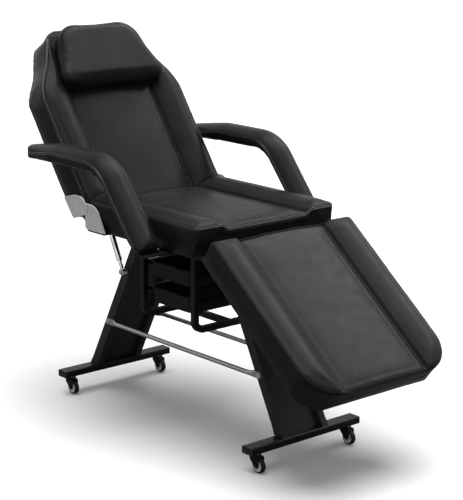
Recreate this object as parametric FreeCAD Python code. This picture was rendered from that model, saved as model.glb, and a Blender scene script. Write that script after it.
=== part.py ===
import FreeCAD
import Part
import math
import os

# Tattoo client chair: upholstered seat, reclining back with head pillow, folding
# leg rest and two arms on a black tube frame with braked swivel casters.
# Millimetres. Origin on the floor under the middle of the base, +Z up,
# -Y towards the feet of the client, -X towards the client's right hand.

os.makedirs("parts", exist_ok=True)

# common clearances
gap = 0.3
fitClear = 0.05
overrun = 20.0
tubeWall = 2.0

# foot bars
barLength = 475.0
barDepth = 50.0
barHeight = 25.0
barCorner = 5.0
barReach = 509.0
capThick = 3.0
capPlug = 14.0

# casters
wheelRadius = 25.0
wheelWidth = 18.0
tyreThick = 6.0
tyreRound = 5.0
hubWall = 3.0
casterTrail = 15.0
casterInset = 35.5
casterSpread = barLength / 2 - casterInset
casterHeight = 66.6
axleRadius = 4.0
axleHeadRadius = 6.5
axleHeadThick = 1.5
cheekThick = 2.5
cheekRoom = 1.2
crownGap = 3.0
crownThick = 4.0
swivelRadius = 17.0
swivelThick = 4.0
stemRadius = 5.5
stemRise = 22.0
stemFlange = 14.0
hoodDrop = 9.0
hoodShare = 1.6
cheekRoundShare = 0.9
rivetShare = 0.8

# legs
legFootInset = 4.0
legFootY = barReach - legFootInset
legHeadY = 215.0
railDepth = 40.0
railWidth = 25.0
legHalfWidth = 100.0
footFlare = 4.0
flareRise = 26.0
webGauge = 3.0
webTopZ = 520.0
webCorner = 40.0
headPlate = 6.0
headPlateDepth = 70.0

# crossbars between the legs
crossbarRadius = 8.0
crossbarZ = 276.0
tabThick = 5.0
tabWidth = 22.0
tabLength = 62.0
tabTaper = 24.0
boltRadius = 4.0
boltHeadRadius = 7.0
boltHeadThick = 4.5

# seat frame
frameTube = 25.0
frameTopZ = 677.0
seatRailX = 222.5
seatRailFront = -306.0
seatRailRear = 240.0
boardThick = 12.0
boardInset = 38.0

# reclining back: its hinge, then its outline from the hinge up to the crown
reclineY = 281.0
reclineZ = 750.0
reclineRest = 54.0
endRadius = 32.0
backEndShare = 0.45
heelSlant = 27.0
backSideInset = 2.0
backPanelHalf = 175.0
shoulderS = 437.0
shoulderR = 180.0
neckRise = 108.0
neckInset = 70.0
neckR = 250.0
crownRise = 128.0
crownInset = 57.0
topR = 65.0
backTop = shoulderS + neckRise + crownRise
backThick = 112.0
backRailTube = 20.0
backRailInset = 68.0
backRailStart = 48.0
backRailEnd = 470.0
backCrossLow = 300.0
backCrossHigh = 445.0

# upholstery
seamZ = 775.0
seatHalf = 305.0
backHalf = seatHalf - backSideInset
backRailX = backHalf - backRailInset
seatFront = -330.0
seatRearGap = 3.0
seatRear = reclineY - endRadius - seatRearGap
seatCornerR = 24.0
drawnIn = 9.0
crown = 17.0
seatPanelHalf = 180.0
panelDip = 12.0
panelCrown = 9.0
edgeRun = 45.0
edgeLift = 11.0
noseRound = 28.0
noseInset = 28.0
rearRoll = 30.0

# head pillow, from its foot up to its rounded top
pillowFoot = 430.0
pillowHeelRun = 6.0
pillowHeelInset = 9.0
pillowHalf = 238.0
pillowNeckRun = 120.0
pillowNeckInset = 42.0
pillowTopRun = 120.0
pillowTopInset = 36.0
pillowTopR = 85.0
pillowRise = 61.0
pillowRound = 27.0
pillowCornerR = 38.0

# leg rest
kneeY = -327.0
kneeZ = 670.0
kneeRest = 38.5
restStart = 9.8
restLength = 632.0
restHalf = seatHalf
restDepth = 90.0
restCornerR = 118.0
restRailX = 192.0
restRailEnd = 530.0
restCrossLow = 205.0
restCrossHigh = 490.0
kneePinR = 5.0
kneePinHeadR = 8.0
kneeEyeR = 12.5
kneeLugR = 12.5
kneeLugThick = 5.0

# side hinges of the back
plateThick = 4.0
hingeGap = 0.6
hingeX = seatHalf + hingeGap
hingePinR = 5.0
hingeEyeR = 17.0
flangeThick = 4.0
coverGap = 0.3
coverThick = 3.7
coverRim = 2.0
studR = 4.5
studStart = 12.0
studGap = 30.0
studDrop = 40.0
studEdge = 9.0
hingeCheekThick = 24.0
plateFrontShare = 4.2
seatPlateShares = [(-0.8, -1.4, 0.5), (0.53, -0.53, 0.5), (0.53, 0.53, 0.5), (-0.53, 0.53, 0.5), (-2.9, 0.1, 1.5)]
backCoverShares = [(-0.56, -1.69, 0.3), (-1.27, 0.65, 0.4), (-1.0, 1.24, 0.4), (0.5, 1.24, 0.9), (1.4, 0.1, 1.2),
                   (2.15, -1.84, 0.15)]
seatCoverShares = [(-0.97, 0.56, 0.15), (-3.05, 0.45, 1.9), (-4.56, -2.28, 0.15), (-0.95, -2.28, 0.45)]

# arms
armGapX = 7.0
armInnerX = seatHalf + armGapX
armWidth = 103.0
armTopZ = 941.0
armTipY = 485.0
armTipDrop = 25.0
armTipBend = 300.0
armTipBendR = 180.0
armKneeY = 50.0
armKneeR = 140.0
armLowY = -169.0
armLowZ = 676.3
armPadTop = 29.0
armPadTip = 17.0
armPadSlope = 14.0
armCrown = 27.0
armTipHalf = 28.0
armTipR = 22.0
armNarrowY = 330.0
armTaperR = 165.0
armToeR = 26.0
armEndR = 35.0
armCoreThick = 8.0
armBendSteps = 8
armCoreInset = 18.0
bracketThick = 6.0
bracketWidth = 60.0

# back stay, a telescoping strut
clevisDrop = 10.0
stayX = 117.0
stayFootAhead = 1.42
stayFootZ = 485.0
stayDrop = backThick + clevisDrop
stayTubeR = 10.5
stayBoreR = 7.6
stayRodR = 6.0
stayEyeR = 12.0
stayEyeWidth = 18.0
stayPinR = 5.0
stayNeckR = 6.5
stayNeck = 42.0
stayTubeEnd = 271.0
stayOverlap = 48.4
rodEyeShare = 0.75
lugThick = 4.0
lugFlareShare = 1.6

# leg rest stay
propX = 117.0
propFootAhead = 0.56
propFootZ = 620.0
propClevisDrop = 20.0
propDrop = restDepth + propClevisDrop
propTubeR = 9.0
propBoreR = 6.2
propRodR = 4.8
propEyeR = 10.0
propNeckR = 5.5
propNeck = 22.0
propTubeEnd = 138.0
propOverlap = 83.2
propRodEyeR = 8.5

# tray rack
hangerTube = 20.0
hangerX = 175.0
hangerFrontY = -169.5
hangerRearY = 102.5
hangerBottomZ = 376.0
hangerBendR = 30.0
beamX = -20.0
trayWall = 3.0
trayDepth = 56.0
trayUpperRim = 580.0
trayLowerRim = 490.0
trayLength = 340.0
traySideGap = 4.0
trayLip = 9.0
trayDraft = 8.0
trayCorner = 26.0
trayScoop = 3.0
trayScoopHalf = 34.0
trayNotchR = 4.0
runnerDepth = 10.0
runnerDrop = 16.0
runnerThick = 2.0


def vec(x, y, z):
    return FreeCAD.Vector(x, y, z)


def save(name, shapes):
    """one file for a piece, or for a set of alike pieces that never move apart"""
    shape = shapes if hasattr(shapes, "exportStep") else Part.makeCompound(shapes)
    shape.exportStep("parts/" + name + ".step")


def cornerArc(before, here, after, radius):
    """the two tangent points and the middle of a rounded corner"""
    inward = before.sub(here)
    outward = after.sub(here)
    half = inward.getAngle(outward) / 2
    inward.normalize()
    outward.normalize()
    reach = radius / math.tan(half)
    middle = inward.add(outward)
    middle.normalize()
    depth = radius / math.sin(half) - radius
    start = here.add(inward.multiply(reach))
    end = here.add(outward.multiply(reach))
    return start, here.add(middle.multiply(depth)), end


def closedWire(corners, place):
    """a closed outline whose corners are (u, v) or (u, v, radius)"""
    points = [place(c[0], c[1]) for c in corners]
    count = len(points)
    arcs = []
    for i in range(count):
        if len(corners[i]) > 2 and corners[i][2] > 0:
            arcs.append(cornerArc(points[i - 1], points[i], points[(i + 1) % count], corners[i][2]))
        else:
            arcs.append((points[i], None, points[i]))
    edges = []
    for i in range(count):
        start, middle, end = arcs[i]
        if middle is not None:
            edges.append(Part.Arc(start, middle, end).toShape())
        following = arcs[(i + 1) % count][0]
        if end.distanceToPoint(following) > gap / 100:
            edges.append(Part.LineSegment(end, following).toShape())
    return Part.Wire(edges)


def plateX(corners, x0, x1):
    """an outline in (y, z), solid from x0 to x1"""
    wire = closedWire(corners, lambda y, z: vec(x0, y, z))
    return Part.Face(wire).extrude(vec(x1 - x0, 0, 0))


def plateY(corners, y0, y1):
    """an outline in (x, z), solid from y0 to y1"""
    wire = closedWire(corners, lambda x, z: vec(x, y0, z))
    return Part.Face(wire).extrude(vec(0, y1 - y0, 0))


def plateZ(corners, z0, z1):
    """an outline in (x, y), solid from z0 to z1"""
    wire = closedWire(corners, lambda x, y: vec(x, y, z0))
    return Part.Face(wire).extrude(vec(0, 0, z1 - z0))


def boxed(x0, x1, y0, y1, z0, z1):
    return Part.makeBox(x1 - x0, y1 - y0, z1 - z0, vec(x0, y0, z0))


def rodX(radius, x0, x1, y, z):
    return Part.makeCylinder(radius, x1 - x0, vec(x0, y, z), vec(1, 0, 0))


def rodZ(radius, x, y, z0, z1):
    return Part.makeCylinder(radius, z1 - z0, vec(x, y, z0), vec(0, 0, 1))


def squareTube(size, wall, start, end):
    """a square tube along X or Y between two corners of its centre line"""
    half = size / 2
    inner = half - wall
    if abs(end.x - start.x) > abs(end.y - start.y):
        outerShape = boxed(start.x, end.x, start.y - half, start.y + half, start.z - half, start.z + half)
        hollow = boxed(start.x, end.x, start.y - inner, start.y + inner, start.z - inner, start.z + inner)
    else:
        outerShape = boxed(start.x - half, start.x + half, start.y, end.y, start.z - half, start.z + half)
        hollow = boxed(start.x - inner, start.x + inner, start.y, end.y, start.z - inner, start.z + inner)
    return outerShape.cut(hollow)


def mirrorX(shape):
    return shape.mirror(vec(0, 0, 0), vec(1, 0, 0))


def turned(shape, degrees):
    """the same piece turned about the chair's upright middle line"""
    copy = shape.copy()
    copy.rotate(vec(0, 0, 0), vec(0, 0, 1), degrees)
    return copy


def recline(shape):
    """a piece drawn with the back lying flat, brought to the photographed angle"""
    copy = shape.copy()
    copy.rotate(vec(0, reclineY, reclineZ), vec(1, 0, 0), reclineRest)
    return copy


def dropKnee(shape):
    """a piece drawn with the leg rest level, brought to the photographed angle"""
    copy = shape.copy()
    copy.rotate(vec(0, kneeY, kneeZ), vec(1, 0, 0), kneeRest)
    return copy


# foot bars: rounded rectangular tube lying across, with a black cap at each end
barBottom = casterHeight
barTop = casterHeight + barHeight


def roundedRect(halfU, lowV, highV, radius):
    return [(-halfU, lowV, radius), (halfU, lowV, radius), (halfU, highV, radius), (-halfU, highV, radius)]


def footBar(y):
    outerRect = [(y + u, v, r) for u, v, r in roundedRect(barDepth / 2, barBottom, barTop, barCorner)]
    innerRect = [(y + u, v, r) for u, v, r in roundedRect(barDepth / 2 - tubeWall, barBottom + tubeWall,
                                                       barTop - tubeWall, barCorner - tubeWall)]
    bar = plateX(outerRect, -barLength / 2, barLength / 2)
    bar = bar.cut(plateX(innerRect, -barLength / 2 - overrun, barLength / 2 + overrun))
    for side in (-1, 1):
        bar = bar.cut(rodZ(stemRadius + fitClear, side * casterSpread, y, barBottom - overrun, barTop - tubeWall))
    return bar


save("foot_bar_rear", footBar(barReach))
save("foot_bar_front", footBar(-barReach))


def barCap(y, side):
    face = [(y + u, v, r) for u, v, r in roundedRect(barDepth / 2, barBottom, barTop, barCorner)]
    plug = [(y + u, v, r) for u, v, r in roundedRect(barDepth / 2 - tubeWall - fitClear,
                                                   barBottom + tubeWall + fitClear,
                                                   barTop - tubeWall - fitClear, barCorner - tubeWall)]
    x = side * barLength / 2
    return plateX(face, x, x + side * capThick).fuse(plateX(plug, x - side * capPlug, x)).removeSplitter()


save("foot_bar_caps", [barCap(y, side) for y in (barReach, -barReach) for side in (-1, 1)])

# casters: stem in the bar, swivelling yoke with its riveted axle, hub and tyre
wheelZ = wheelRadius
crownZ = wheelRadius * 2 + crownGap
swivelTop = crownZ + crownThick + swivelThick


def casterStem(x, y):
    stem = rodZ(stemRadius, x, y, swivelTop + gap, barBottom + stemRise)
    flange = rodZ(stemFlange, x, y, swivelTop + gap, barBottom)
    return stem.fuse(flange).removeSplitter()


def casterFork():
    """yoke drawn at the origin, its axle one trail behind the stem along -Y"""
    inside = wheelWidth / 2 + cheekRoom
    outside = inside + cheekThick
    low = wheelZ - axleHeadRadius
    front = -casterTrail - axleHeadRadius * hoodShare
    fork = plateX([(-casterTrail - axleHeadRadius, low, axleHeadRadius * cheekRoundShare),
                   (-casterTrail + axleHeadRadius, low, axleHeadRadius * cheekRoundShare),
                   (swivelRadius, crownZ - hoodDrop, crownThick), (swivelRadius, crownZ + crownThick),
                   (front, crownZ + crownThick, crownThick * 2), (front, crownZ - hoodDrop, crownThick)],
                  -outside, outside)
    fork = fork.cut(boxed(-inside, inside, -barDepth, barDepth, 0, crownZ))
    fork = fork.fuse(rodZ(swivelRadius, 0, 0, crownZ, swivelTop))
    fork = fork.fuse(rodX(axleRadius, -outside, outside, -casterTrail, wheelZ))
    for side in (-1, 1):
        head = rodX(axleHeadRadius * rivetShare, 0, axleHeadThick, -casterTrail, wheelZ)
        head.translate(vec(outside if side > 0 else -outside - axleHeadThick, 0, 0))
        fork = fork.fuse(head)
    return fork.removeSplitter()


def wheelRing(profile):
    """a profile in (x, radius) turned about the axle"""
    wire = closedWire(profile, lambda x, r: vec(x, -casterTrail, wheelZ + r))
    return Part.Face(wire).revolve(vec(0, -casterTrail, wheelZ), vec(1, 0, 0), 360)


def casterTyre():
    half = wheelWidth / 2
    seat = wheelRadius - tyreThick
    return wheelRing([(-half, seat), (half, seat), (half, wheelRadius, tyreRound), (-half, wheelRadius, tyreRound)])


def casterHub():
    half = wheelWidth / 2
    seat = wheelRadius - tyreThick
    bore = axleRadius + fitClear
    boss = axleRadius + hubWall
    return wheelRing([(-half, bore), (half, bore), (half, boss), (hubWall / 2, boss, hubWall / 3),
                      (hubWall / 2, seat - hubWall, hubWall / 3), (half, seat - hubWall), (half, seat), (-half, seat),
                      (-half, seat - hubWall), (-hubWall / 2, seat - hubWall, hubWall / 3),
                      (-hubWall / 2, boss, hubWall / 3), (-half, boss)])


casterPlaces = {"rear_right": (-1, 1), "rear_left": (1, 1), "front_right": (-1, -1), "front_left": (1, -1)}
fork = casterFork()
tyre = casterTyre()
hub = casterHub()
for name in casterPlaces:
    place = vec(casterPlaces[name][0] * casterSpread, casterPlaces[name][1] * barReach, 0)
    for label, shape in (("fork", fork), ("tyre", tyre), ("hub", hub)):
        moved = shape.copy()
        moved.translate(place)
        save("caster_" + label + "_" + name, moved)
save("caster_stems", [casterStem(sx * casterSpread, sy * barReach) for sx, sy in casterPlaces.values()])

# legs: two leaning tubes joined by a recessed web, with a head plate above
legHeadZ = frameTopZ - frameTube
legSlope = (legFootY - legHeadY) / (legHeadZ - barTop)


def legY(z):
    """middle of the leg at a height"""
    return legFootY - legSlope * (z - barTop)


stayFootY = legY(stayFootZ) - stayFootAhead
propFootY = propFootAhead - legY(propFootZ)


def railOutline(inset):
    half = railDepth / 2 - inset
    foot = railDepth / 2 + footFlare - inset
    topZ = legHeadZ - headPlate
    flareZ = barTop + flareRise
    return [(legFootY - foot, barTop), (legFootY + foot, barTop), (legY(flareZ) + half, flareZ),
            (legY(topZ) + half, topZ), (legY(topZ) - half, topZ), (legY(flareZ) - half, flareZ)]


def legRail(x0, x1):
    return plateX(railOutline(0), x0, x1).cut(plateX(railOutline(tubeWall), x0 + tubeWall, x1 - tubeWall))


innerX = legHalfWidth - railWidth
leanLength = math.hypot(1, legSlope)


def legWeb():
    """sheet between the tubes, in the middle of their depth, its top edge rounded up at both ends"""
    low = barTop
    span = webTopZ - low
    half = webGauge * leanLength / 2
    webShape = plateX([(legY(low) - half, low), (legY(low) + half, low),
                       (legY(webTopZ + webCorner) + half, low + span + webCorner),
                       (legY(webTopZ + webCorner) - half, low + span + webCorner)],
                      -innerX, innerX)
    window = plateY([(-innerX, webTopZ, webCorner), (innerX, webTopZ, webCorner),
                     (innerX, webTopZ + webCorner * 2), (-innerX, webTopZ + webCorner * 2)],
                    0, legFootY)
    return webShape.cut(window)


def leg():
    frame = legRail(-legHalfWidth, -innerX).fuse([legRail(innerX, legHalfWidth), legWeb()])
    head = plateZ([(-legHalfWidth, legHeadY - headPlateDepth / 2, headPlate),
                   (legHalfWidth, legHeadY - headPlateDepth / 2, headPlate),
                   (legHalfWidth, legHeadY + headPlateDepth / 2, headPlate),
                   (-legHalfWidth, legHeadY + headPlateDepth / 2, headPlate)],
                  legHeadZ - headPlate, legHeadZ)
    frame = frame.fuse(head)
    for near, far in ((-legHalfWidth - overrun, -innerX - tubeWall), (innerX + tubeWall, legHalfWidth + overrun)):
        frame = frame.cut(rodX(boltRadius + fitClear, near, far, legY(crossbarZ), crossbarZ))
    pinX = -legHalfWidth - overrun
    frame = frame.cut(rodX(stayPinR + fitClear, pinX, -innerX, stayFootY, stayFootZ))
    frame = frame.cut(rodX(stayPinR + fitClear, pinX, -innerX, -propFootY, propFootZ))
    return frame.removeSplitter()


rearLeg = leg()
save("leg_rear", rearLeg)
save("leg_front", turned(rearLeg, 180))


# crossbars: round tube, pressed flat at the ends and bolted to the outside of the legs
def crossbar(side):
    x = side * (legHalfWidth + crossbarRadius)
    boltY = legY(crossbarZ)
    barEnd = boltY + tabWidth / 2 - tabLength
    shape = Part.makeCylinder(crossbarRadius, barEnd * 2, vec(x, -barEnd, crossbarZ), vec(0, 1, 0))
    tabX = side * (legHalfWidth + tabThick / 2)
    bore = Part.makeCylinder(crossbarRadius - tubeWall, barEnd * 2, vec(x, -barEnd, crossbarZ), vec(0, 1, 0))
    shape = shape.cut(bore)
    for end in (-1, 1):
        circle = Part.Wire([Part.Circle(vec(x, end * barEnd, crossbarZ), vec(0, 1, 0), crossbarRadius).toShape()])
        flat = Part.Ellipse(vec(tabX, end * (barEnd + tabTaper), crossbarZ + tabWidth / 2),
                            vec(tabX + tabThick / 2, end * (barEnd + tabTaper), crossbarZ),
                            vec(tabX, end * (barEnd + tabTaper), crossbarZ))
        neck = Part.makeLoft([circle, Part.Wire([flat.toShape()])], True)
        tab = plateX([(end * (barEnd + tabTaper - tabThick), crossbarZ - tabWidth / 2),
                      (end * (boltY + tabWidth / 2), crossbarZ - tabWidth / 2, tabWidth / 2 - gap),
                      (end * (boltY + tabWidth / 2), crossbarZ + tabWidth / 2, tabWidth / 2 - gap),
                      (end * (barEnd + tabTaper - tabThick), crossbarZ + tabWidth / 2)],
                     tabX - tabThick / 2, tabX + tabThick / 2)
        tab = tab.cut(rodX(boltRadius + fitClear, tabX - overrun, tabX + overrun, end * boltY, crossbarZ))
        shape = shape.fuse([neck, tab])
    return shape.removeSplitter()


save("crossbar_right", crossbar(-1))
save("crossbar_left", crossbar(1))


def crossbarBolt(side, end):
    """shank through crossbar tab and tube wall, with a round head outside"""
    outside = legHalfWidth + tabThick
    shank = rodX(boltRadius, legHalfWidth - tubeWall, outside, end * legY(crossbarZ), crossbarZ)
    head = rodX(boltHeadRadius, outside, outside + boltHeadThick, end * legY(crossbarZ), crossbarZ)
    bolt = shank.fuse(head).removeSplitter()
    return bolt if side > 0 else mirrorX(bolt)


save("crossbar_bolts", [crossbarBolt(side, end) for side in (-1, 1) for end in (-1, 1)])

# seat frame: two side rails and four cross tubes, on the head plates of the legs
railZ = frameTopZ - frameTube / 2
railInner = seatRailX - frameTube / 2
railOuter = seatRailX + frameTube / 2
save("seat_rails", [squareTube(frameTube, tubeWall, vec(side * seatRailX, seatRailFront, railZ),
                               vec(side * seatRailX, seatRailRear, railZ)) for side in (-1, 1)])
crossPlaces = (-legHeadY, hangerFrontY, hangerRearY, legHeadY)
save("seat_cross_tubes", [squareTube(frameTube, tubeWall, vec(-railInner, y, railZ), vec(railInner, y, railZ))
                          for y in crossPlaces])


def slab(halfWidth, y0, y1, z0, z1, radius):
    return plateZ([(-halfWidth, y0, radius), (halfWidth, y0, radius), (halfWidth, y1, radius),
                   (-halfWidth, y1, radius)], z0, z1)


# upholstery sections: bolster, seam, and a lower middle panel, all in arcs
def cushionSection(half, panel, bottomZ, topZ, dip, y):
    """cross section in (x, z), drawn in below the side seam"""
    right = [vec(0, y, bottomZ), vec(half - drawnIn, y, bottomZ), vec(half - drawnIn / 4, y, (bottomZ + topZ) / 2),
             vec(half, y, topZ), vec((half + panel) / 2, y, topZ + crown), vec(panel, y, topZ - dip),
             vec(0, y, topZ - dip + panelCrown)]
    left = [vec(-p.x, p.y, p.z) for p in right]
    edges = [Part.LineSegment(left[1], right[1]).toShape(),
             Part.Arc(right[1], right[2], right[3]).toShape(),
             Part.Arc(right[3], right[4], right[5]).toShape(),
             Part.Arc(right[5], right[6], left[5]).toShape(),
             Part.Arc(left[5], left[4], left[3]).toShape(),
             Part.Arc(left[3], left[2], left[1]).toShape()]
    return Part.Face(Part.Wire(edges))


seatBoard = slab(seatHalf - boardInset, seatFront + noseInset + boardInset / 2, seatRear - boardInset / 2,
                 frameTopZ, frameTopZ + boardThick, seatCornerR)
save("seat_board", seatBoard)


def profiled(start, steps, half):
    """a side outline in (y, z), as wide as the cushion; a step is a point, or a point on an arc and its end"""
    edges = []
    here = vec(-half, *start)
    for step in steps:
        there = vec(-half, *step[-2:])
        if len(step) > 2:
            edges.append(Part.Arc(here, vec(-half, *step[:2]), there).toShape())
        else:
            edges.append(Part.LineSegment(here, there).toShape())
        here = there
    return Part.Face(Part.Wire(edges)).extrude(vec(half * 2, 0, 0))


def underSeam(corners, bottomZ):
    """an outline in (x, y), upright to the seam and drawn in above it as the top rises"""
    wire = closedWire(corners, lambda x, y: vec(x, y, seamZ))
    face = Part.Face(wire)
    room = Part.Face(wire).extrude(vec(0, 0, bottomZ - seamZ))
    below = wire
    for inset, lift in ((edgeRun / 3, edgeLift), (edgeRun, crown + gap)):
        above = face.makeOffset2D(-inset).OuterWire
        above.translate(vec(0, 0, lift))
        room = room.fuse(Part.makeLoft([below, above], True, True))
        below = above
    return room


def seatCushion():
    body = cushionSection(seatHalf, seatPanelHalf, frameTopZ, seamZ, panelDip, seatFront)
    body = body.extrude(vec(0, seatRear - seatFront, 0))
    top = seamZ + crown + gap
    foot = (seatFront + noseInset, frameTopZ)
    side = profiled(foot, [(seatRear, frameTopZ), (seatRear, seamZ - rearRoll / 2),
                           (seatRear - rearRoll / 4, seamZ + crown / 2, seatRear - rearRoll, top),
                           (seatFront + edgeRun, top),
                           (seatFront + edgeRun / 3, seamZ + edgeLift, seatFront, seamZ),
                           (seatFront + noseInset / 5, (seamZ + frameTopZ) / 2) + foot], seatHalf)
    plan = slab(seatHalf, seatFront, seatRear, frameTopZ - overrun, top + overrun, seatCornerR)
    body = body.common(side).common(plan)
    # the middle panel rolls over the front between the bolsters
    noseZ = seamZ - panelDip + panelCrown - noseRound
    noseY = seatFront + noseRound
    nose = boxed(-seatPanelHalf + gap, seatPanelHalf - gap, seatFront - overrun, noseY, noseZ, top + overrun)
    return body.cut(nose.cut(rodX(noseRound, -seatHalf, seatHalf, noseY, noseZ))).cut(seatBoard)


save("seat_cushion", seatCushion())

# back, drawn lying flat behind its hinge and then raised
backEndY = reclineY - endRadius
backBottomZ = seamZ - backThick


def backY(s):
    return reclineY + s


def backOutline(inset, start):
    """the back from above: straight sides, hollow shoulders, and a narrow rounded crown"""
    side = backHalf - inset
    neck = side - neckInset
    right = [(side, start), (side, backY(shoulderS), shoulderR), (neck, backY(shoulderS + neckRise), neckR),
             (neck - crownInset, backY(backTop - inset), topR)]
    return right + [(-c[0],) + c[1:] for c in reversed(right)]


studZ = reclineZ - studDrop
studPlaces = (backY(studStart), backY(studStart + studGap))


def studHoles():
    """bores for the hinge studs, through the side of the back into the board's cheeks"""
    reach = backHalf - boardInset - hingeCheekThick / 2
    bores = [rodX(studR + fitClear, reach, backHalf + overrun, y, studZ) for y in studPlaces]
    return bores + [mirrorX(bore) for bore in bores]


def backBoard():
    """plywood panel with an upright cheek on each side for the hinge studs"""
    outer = backHalf - boardInset
    panel = plateZ(backOutline(boardInset, backY(boardInset)), backBottomZ, backBottomZ + boardThick)
    cheek = boxed(outer - hingeCheekThick, outer, studPlaces[0] - studEdge, studPlaces[-1] + studEdge,
                  backBottomZ, studZ + studEdge)
    return panel.fuse([cheek, mirrorX(cheek)]).removeSplitter().cut(studHoles())


def backCushion():
    body = cushionSection(backHalf, backPanelHalf, backBottomZ, seamZ, panelDip, backEndY)
    body = body.extrude(vec(0, backTop + endRadius, 0))
    top = seamZ + crown + gap
    heel = (backEndY + heelSlant, backBottomZ)
    side = profiled(heel, [(backY(backTop), backBottomZ), (backY(backTop), seamZ),
                           (backY(backTop) - rearRoll / 3, seamZ + edgeLift, backY(backTop) - rearRoll, top),
                           (backY(endRadius), top),
                           (backY(-endRadius * backEndShare), reclineZ + endRadius - crown / 2, backEndY, reclineZ),
                           heel], backHalf)
    return body.common(side).common(underSeam(backOutline(0, backEndY - overrun * 3), backBottomZ))


backFlat = backCushion()
board = backBoard()
save("back_board", recline(board))
save("back_cushion", recline(backFlat.cut([board] + studHoles())))

railDropZ = backBottomZ - backRailTube / 2
save("back_rails", [recline(squareTube(backRailTube, tubeWall, vec(side * backRailX, backY(backRailStart), railDropZ),
                                       vec(side * backRailX, backY(backRailEnd), railDropZ))) for side in (-1, 1)])
backRailInner = backRailX - backRailTube / 2
save("back_cross_tubes", [recline(squareTube(backRailTube, tubeWall, vec(-backRailInner, backY(s), railDropZ),
                                             vec(backRailInner, backY(s), railDropZ)))
                          for s in (backCrossLow, backCrossHigh)])


def headPillow():
    """wedge pillow, narrower towards the crown of the head, with a rounded front edge"""
    def outlineAt(z, foot, inset):
        half = pillowHalf - inset
        neck = half - pillowNeckInset
        neckY = backY(pillowFoot + pillowNeckRun)
        right = [(half, backY(foot), pillowCornerR), (neck, neckY, pillowTopR),
                 (neck - pillowTopInset, neckY + pillowTopRun - inset, pillowTopR)]
        left = [(-c[0],) + c[1:] for c in reversed(right)]
        return closedWire(right + left, lambda x, y: vec(x, y, z))
    base = outlineAt(seamZ - panelDip, pillowFoot - pillowHeelRun, pillowHeelInset)
    front = outlineAt(seamZ + pillowRise, pillowFoot, 0)
    shape = Part.makeLoft([base, front], True, True)
    rim = [e for e in shape.Edges if e.BoundBox.ZMin > seamZ + pillowRise - gap]
    shape = shape.makeFillet(pillowRound, rim)
    under = backFlat.copy()
    under.translate(vec(0, 0, gap))
    return shape.cut(under)


save("headrest_pillow", recline(headPillow()))

# leg rest, drawn level in front of its hinge and then lowered
restBottomZ = seamZ - restDepth


def restY(s):
    return kneeY - s


restBoard = plateZ([(-restHalf + boardInset, restY(restStart + boardInset / 2), seatCornerR),
                    (restHalf - boardInset, restY(restStart + boardInset / 2), seatCornerR),
                    (restHalf - boardInset, restY(restLength - boardInset), restCornerR - boardInset),
                    (-restHalf + boardInset, restY(restLength - boardInset), restCornerR - boardInset)],
                   restBottomZ, restBottomZ + boardThick)


def restCushion():
    body = cushionSection(restHalf, seatPanelHalf, restBottomZ, seamZ, panelDip, restY(restLength))
    body = body.extrude(vec(0, restLength - restStart, 0))
    top = seamZ + crown + gap
    nearEnd = restY(restStart)
    farEnd = restY(restLength)
    toe = (farEnd + drawnIn, restBottomZ)
    side = profiled(toe, [(nearEnd, restBottomZ), (nearEnd, seamZ),
                          (nearEnd - rearRoll / 3, seamZ + edgeLift, nearEnd - rearRoll, top),
                          (farEnd + edgeRun, top), (farEnd + edgeRun / 3, seamZ + edgeLift, farEnd, seamZ),
                          (farEnd + drawnIn / 4, (seamZ + restBottomZ) / 2) + toe], restHalf)
    plan = underSeam([(-restHalf, nearEnd + overrun * 3), (restHalf, nearEnd + overrun * 3),
                      (restHalf, farEnd, restCornerR), (-restHalf, farEnd, restCornerR)], restBottomZ)
    return body.common(side).common(plan).cut(restBoard)


save("rest_board", dropKnee(restBoard))
save("rest_cushion", dropKnee(restCushion()))

restRailZ = restBottomZ - frameTube / 2


def restRail(side):
    """tube along the underside whose rounded end turns on the knee pin"""
    half = frameTube / 2
    x = side * restRailX
    outer = plateX([(kneeY + kneeEyeR, kneeZ + kneeEyeR, kneeEyeR - gap),
                    (kneeY + kneeEyeR, kneeZ - kneeEyeR, kneeEyeR - gap),
                    (restY(restStart), restRailZ - half), (restY(restRailEnd), restRailZ - half),
                    (restY(restRailEnd), restRailZ + half), (restY(restStart), restRailZ + half)],
                   x - half, x + half)
    core = boxed(x - half + tubeWall, x + half - tubeWall, restY(restRailEnd), restY(restStart + kneeEyeR),
                 restRailZ - half + tubeWall, restRailZ + half - tubeWall)
    return outer.cut([core, rodX(kneePinR + fitClear, x - overrun, x + overrun, kneeY, kneeZ)])


restRailInner = restRailX - frameTube / 2
save("rest_rails", [dropKnee(restRail(side)) for side in (-1, 1)])
save("rest_cross_tubes", [dropKnee(squareTube(frameTube, tubeWall, vec(-restRailInner, restY(s), restRailZ),
                                              vec(restRailInner, restY(s), restRailZ)))
                          for s in (restCrossLow, restCrossHigh)])


def kneeLug():
    """lug on the front end of a seat rail, inboard of it"""
    x1 = railInner
    x0 = x1 - kneeLugThick
    rootY = seatRailFront + frameTube * 2
    shape = plateX([(kneeY - kneeLugR, kneeZ - kneeLugR, kneeLugR - gap), (rootY, frameTopZ - frameTube),
                    (rootY, frameTopZ - tubeWall), (seatRailFront, frameTopZ - tubeWall),
                    (kneeY, kneeZ + kneeLugR), (kneeY - kneeLugR, kneeZ + kneeLugR, kneeLugR - gap)], x0, x1)
    return shape.cut(rodX(kneePinR + fitClear, x0 - overrun, x1 + overrun, kneeY, kneeZ))


def kneePin():
    x0 = restRailX - frameTube / 2 - tubeWall
    pin = rodX(kneePinR, x0, railInner + kneeLugThick / 2, kneeY, kneeZ)
    return pin.fuse(rodX(kneePinHeadR, x0 - tubeWall, x0, kneeY, kneeZ)).removeSplitter()


save("knee_lugs", [kneeLug(), mirrorX(kneeLug())])

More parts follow.
